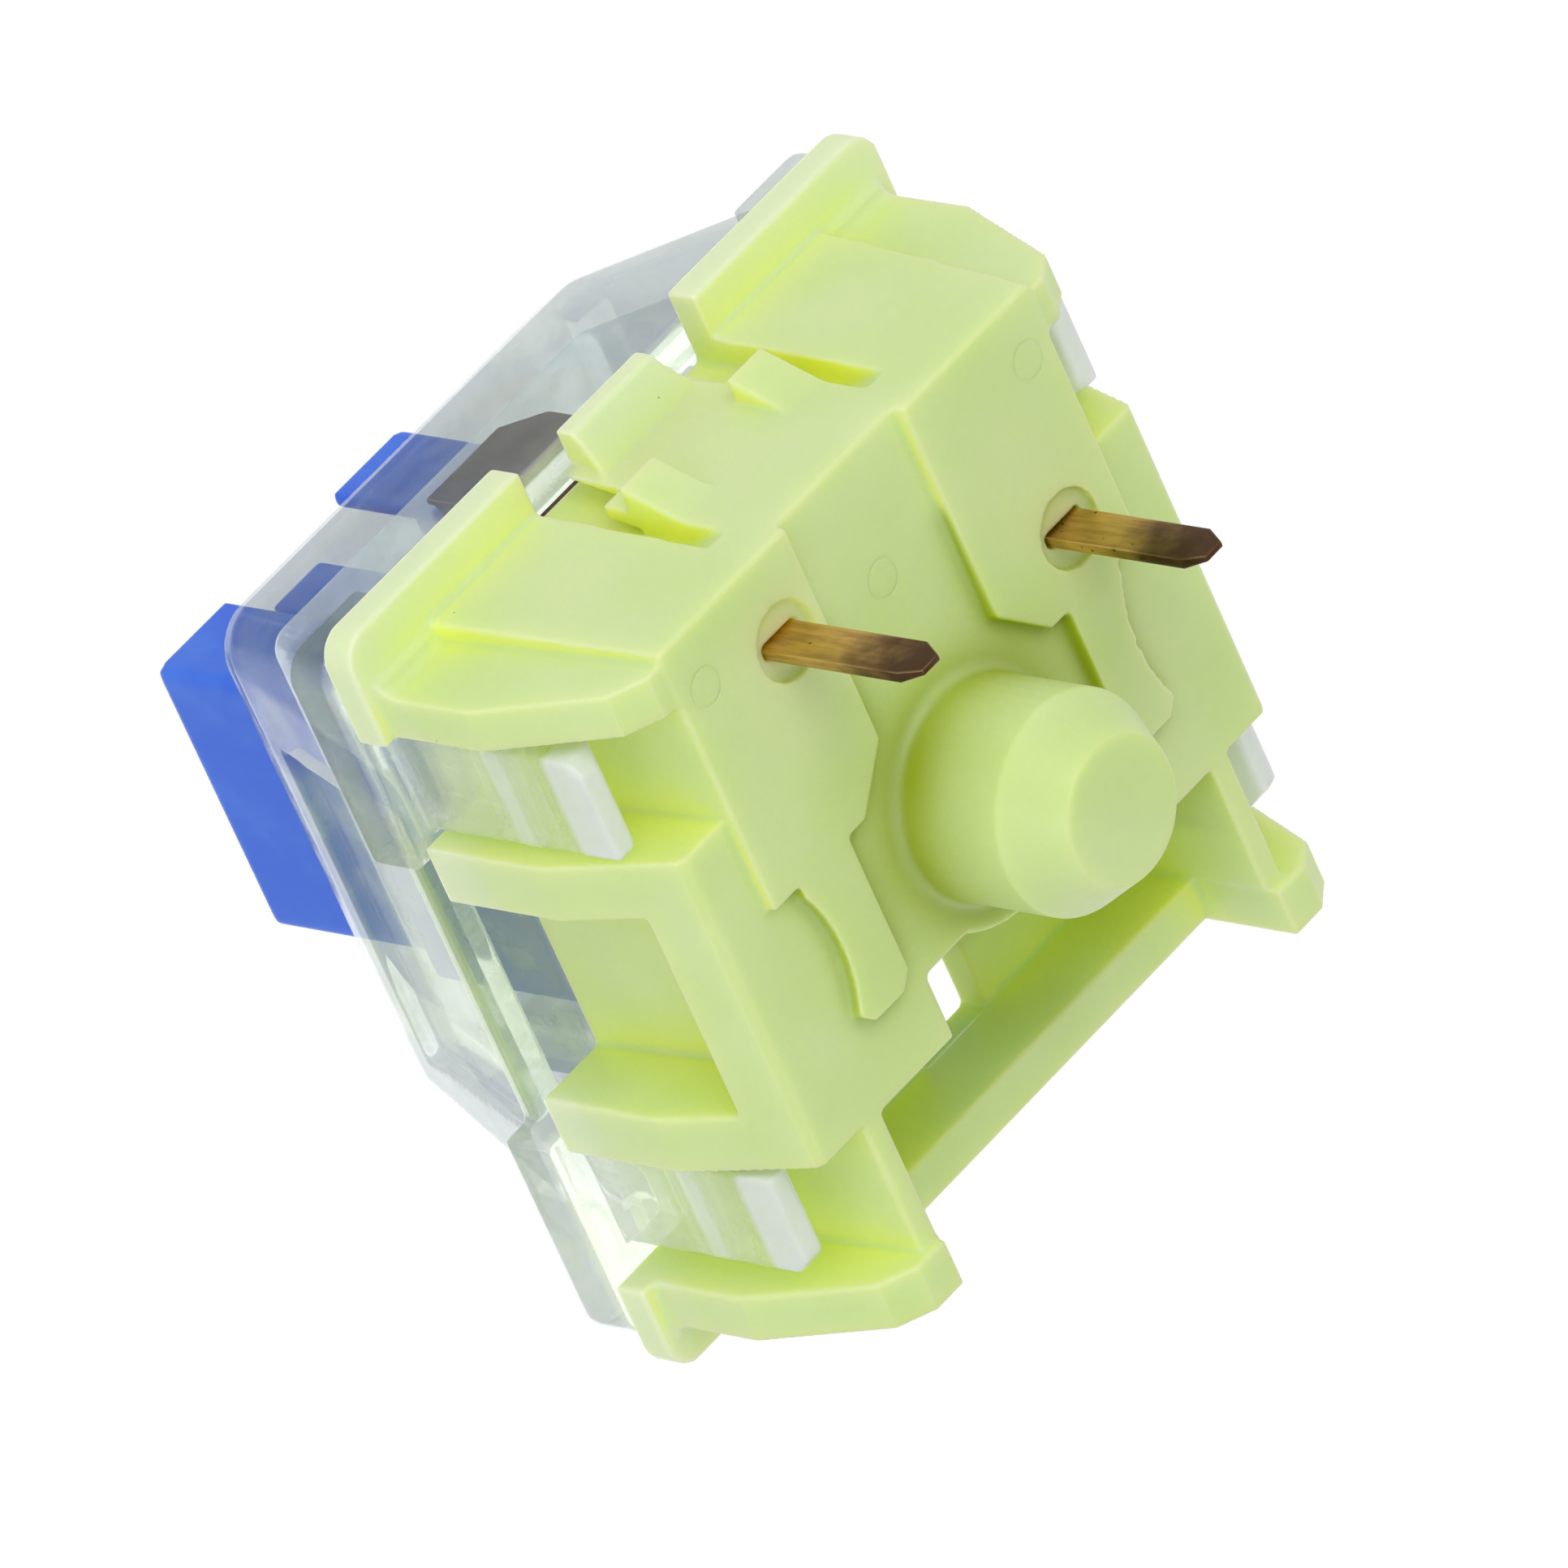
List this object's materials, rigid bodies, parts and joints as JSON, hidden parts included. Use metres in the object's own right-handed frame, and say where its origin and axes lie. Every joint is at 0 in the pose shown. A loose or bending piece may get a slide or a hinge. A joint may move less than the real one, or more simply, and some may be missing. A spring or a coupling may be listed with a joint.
{
  "type": "keyboard switch",
  "caption": "Mechanical keyboard switch with a translucent bottom housing, a clear top housing, a sprung box stem and two solder pins.",
  "frame": {"origin": "on the centre post's axis, in the plane where the housing's feet meet the circuit board", "axes": "+Z from the circuit board to the key, +Y to the side of the contact pins, -Y to the side of the lamp slot"},
  "size_m": [0.0144, 0.0156, 0.0187],
  "materials": {
    "tinted_housing": "translucent yellow-green moulded plastic, satin",
    "clear_housing": "clear moulded plastic, polished",
    "stem_plastic": "blue moulded plastic, satin",
    "spring_steel": "drawn wire",
    "terminal_brass": "stamped sheet, slightly tarnished",
    "leaf_copper": "thin copper alloy strip",
    "contact_metal": "plated contact point"
  },
  "bodies": {
    "housing": {"bottom_housing": "tinted_housing", "top_housing": "clear_housing", "return_spring": "spring_steel", "moving_contact_terminal": "terminal_brass", "fixed_contact": "terminal_brass", "fixed_contact_point": "contact_metal"},
    "key_stem": {"stem": "stem_plastic"},
    "contact_leaf": {"moving_contact_leaf": "leaf_copper", "moving_contact_point": "contact_metal"}
  },
  "joints": [
    {"name": "stem_travel", "type": "slide", "parent": "housing", "child": "key_stem", "axis": [0, 0, -1], "range_m": [0, 0.0036], "stiffness_N_per_m": 100, "springref_m": -0.003, "deforming": ["return_spring"]},
    {"name": "leaf_flex", "type": "hinge", "parent": "housing", "child": "contact_leaf", "pos_m": [0, 0.00493, 0.0023], "axis": [1, 0, 0], "range_deg": [0, 6]}
  ],
  "couplings": [
    {"joint": "leaf_flex", "follows": "stem_travel", "rad_per_m": 23.1}
  ]
}
